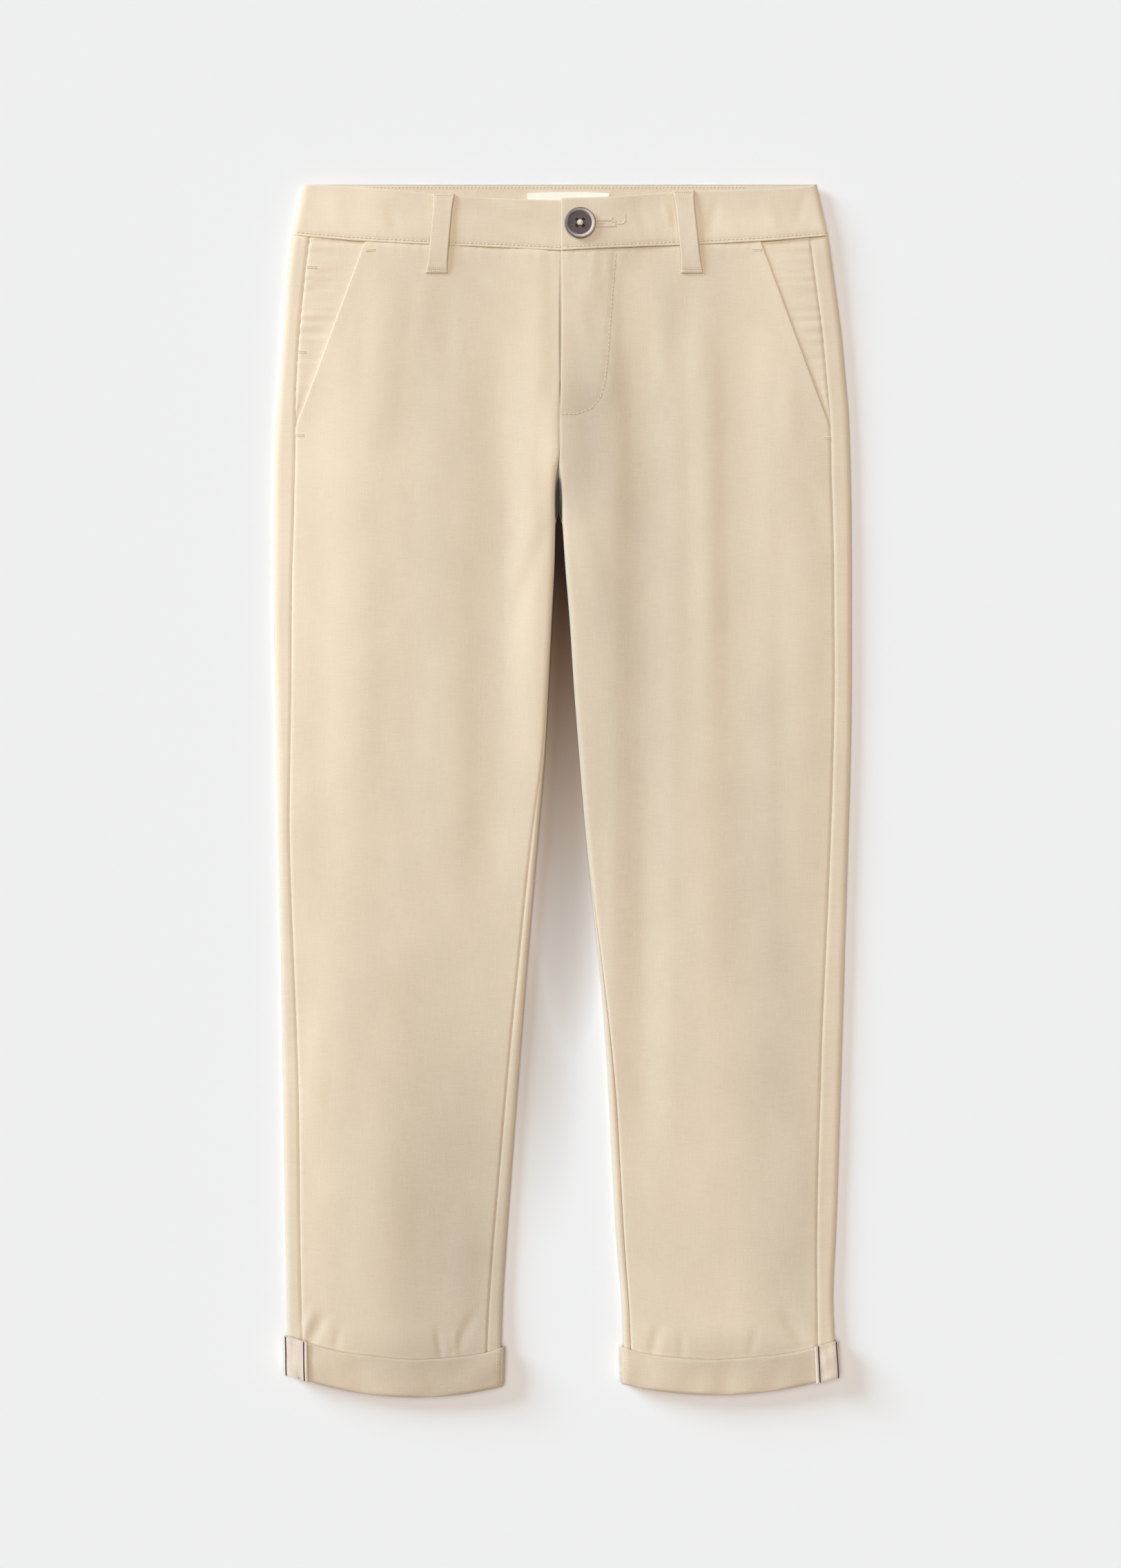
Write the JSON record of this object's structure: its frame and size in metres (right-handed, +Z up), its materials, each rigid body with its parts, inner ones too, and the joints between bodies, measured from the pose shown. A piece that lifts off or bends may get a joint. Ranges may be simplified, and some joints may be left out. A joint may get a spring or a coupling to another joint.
{
  "type": "chino trousers",
  "caption": "Child's straight chino trousers laid flat on their back, waist buttoned, hems turned up, with slanted front pockets and belt loops.",
  "frame": {"origin": "on the surface that the trousers lie on, under the middle of their length and width", "axes": "+X across towards the wearer's left leg, +Y from the hems to the waist, +Z up, out of their front"},
  "size_m": [0.335, 0.7026, 0.0118],
  "materials": {
    "twill": "fine cream cotton twill",
    "inner_twill": "inner side of the twill, matt",
    "tape_cotton": "matt seam allowance",
    "label_cotton": "plain woven tape",
    "horn_button": "mottled dark horn look"
  },
  "bodies": {
    "root": {"front_right": "twill", "back_right": "twill", "pocket_facing_right": "twill", "waistband_right": "twill", "turn_up_right": "inner_twill", "outseam_tape_right": "tape_cotton", "front_left": "twill", "back_left": "twill", "pocket_facing_left": "twill", "waistband_left": "twill", "turn_up_left": "inner_twill", "outseam_tape_left": "tape_cotton", "belt_loop_front_right": "twill", "belt_loop_front_left": "twill", "belt_loop_back_right": "twill", "belt_loop_back_left": "twill", "belt_loop_back_centre": "twill", "fly_shield": "twill", "waist_label": "label_cotton", "waist_button": "horn_button"}
  },
  "joints": []
}
